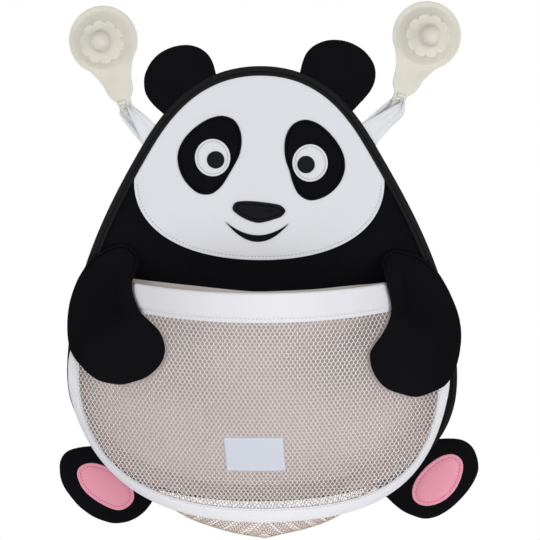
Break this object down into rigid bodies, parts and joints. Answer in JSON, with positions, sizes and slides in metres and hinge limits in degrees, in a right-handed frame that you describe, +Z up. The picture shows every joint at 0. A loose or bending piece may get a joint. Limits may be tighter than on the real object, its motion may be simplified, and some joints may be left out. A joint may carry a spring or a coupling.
{
  "type": "bath toy organizer",
  "caption": "Wall-hung bath toy organizer: bound neoprene panda body with a net pocket, flap ears, arms and feet, on ribbon loops with suction cups.",
  "frame": {"origin": "on the flat back of the body panel where it lies on the wall, in the middle of its width, level with the middle of the picture", "axes": "+Y into the wall, so the front faces -Y; +Z up; +X to the right as seen from the front"},
  "size_m": [0.3901, 0.0942, 0.4901],
  "materials": {
    "black_neoprene": "matte knit-faced neoprene foam sheet",
    "black_tape": "ribbed woven binding tape",
    "black_thread": "satin stitch embroidery",
    "white_cloth": "smooth matte knit cloth",
    "white_band": "folded woven band",
    "white_net": "knitted polyester mesh",
    "pink_cloth": "smooth matte cloth",
    "label_weave": "fine woven label, left bare",
    "satin_ribbon": "satin",
    "soft_rubber": "milky soft moulded vinyl"
  },
  "bodies": {
    "body": {"body_panel": "black_neoprene", "panel_binding": "black_tape", "face_panel": "white_cloth", "eye_patch_left": "black_neoprene", "eye_patch_right": "black_neoprene", "eye_white_left": "white_cloth", "eye_white_right": "white_cloth", "pupil_left": "black_neoprene", "pupil_right": "black_neoprene", "nose": "black_neoprene", "mouth": "black_thread", "pocket_rim": "white_band", "front_net": "white_net", "lower_band": "white_band", "gusset_net": "white_net", "back_net": "white_net", "label": "label_weave"},
    "ear_left": {"ear_left": "black_neoprene"},
    "ear_right": {"ear_right": "black_neoprene"},
    "arm_left": {"arm_left": "black_neoprene"},
    "arm_right": {"arm_right": "black_neoprene"},
    "foot_left": {"foot_left": "black_neoprene", "foot_pad_left": "pink_cloth"},
    "foot_right": {"foot_right": "black_neoprene", "foot_pad_right": "pink_cloth"},
    "ribbon_left": {"ribbon_left": "satin_ribbon"},
    "ribbon_right": {"ribbon_right": "satin_ribbon"},
    "cup_left": {"suction_cup_left": "soft_rubber"},
    "cup_right": {"suction_cup_right": "soft_rubber"}
  },
  "joints": [
    {"name": "ear_left_flop", "type": "hinge", "parent": "body", "child": "ear_left", "pos_m": [-0.06669, -0.003, 0.16687], "axis": [-0.7994, 0, -0.6008], "range_deg": [-75, 75], "stiffness_Nm_per_rad": 0.03},
    {"name": "ear_right_flop", "type": "hinge", "parent": "body", "child": "ear_right", "pos_m": [0.06559, -0.003, 0.16686], "axis": [-0.789, 0, 0.6144], "range_deg": [-75, 75], "stiffness_Nm_per_rad": 0.03},
    {"name": "arm_left_lift", "type": "hinge", "parent": "body", "child": "arm_left", "pos_m": [-0.1267, -0.0062, 0.0241], "axis": [-1, 0, 0], "range_deg": [0, 60], "stiffness_Nm_per_rad": 0.15},
    {"name": "arm_right_lift", "type": "hinge", "parent": "body", "child": "arm_right", "pos_m": [0.127, -0.0062, 0.0186], "axis": [-1, 0, 0], "range_deg": [0, 60], "stiffness_Nm_per_rad": 0.15},
    {"name": "foot_left_flop", "type": "hinge", "parent": "body", "child": "foot_left", "pos_m": [-0.13728, -0.003, -0.19131], "axis": [0.8376, 0, -0.5463], "range_deg": [-55, 75], "stiffness_Nm_per_rad": 0.05},
    {"name": "foot_right_flop", "type": "hinge", "parent": "body", "child": "foot_right", "pos_m": [0.15295, -0.003, -0.1772], "axis": [0.7319, 0, 0.6814], "range_deg": [-55, 75], "stiffness_Nm_per_rad": 0.05},
    {"name": "ribbon_left_fold", "type": "hinge", "parent": "body", "child": "ribbon_left", "pos_m": [-0.10535, -0.0034, 0.12248], "axis": [0.5334, 0, 0.8458], "range_deg": [-100, 100]},
    {"name": "ribbon_right_fold", "type": "hinge", "parent": "body", "child": "ribbon_right", "pos_m": [0.10281, -0.0034, 0.12235], "axis": [0.5241, 0, -0.8517], "range_deg": [-100, 100]},
    {"name": "cup_left_swivel", "type": "hinge", "parent": "ribbon_left", "child": "cup_left", "pos_m": [-0.12203, -0.0034, 0.14863], "axis": [0.9483, 0, 0.3173], "range_deg": [-75, 75]},
    {"name": "cup_right_swivel", "type": "hinge", "parent": "ribbon_right", "child": "cup_right", "pos_m": [0.12487, -0.0034, 0.15488], "axis": [0.915, 0, -0.4035], "range_deg": [-75, 75]}
  ]
}
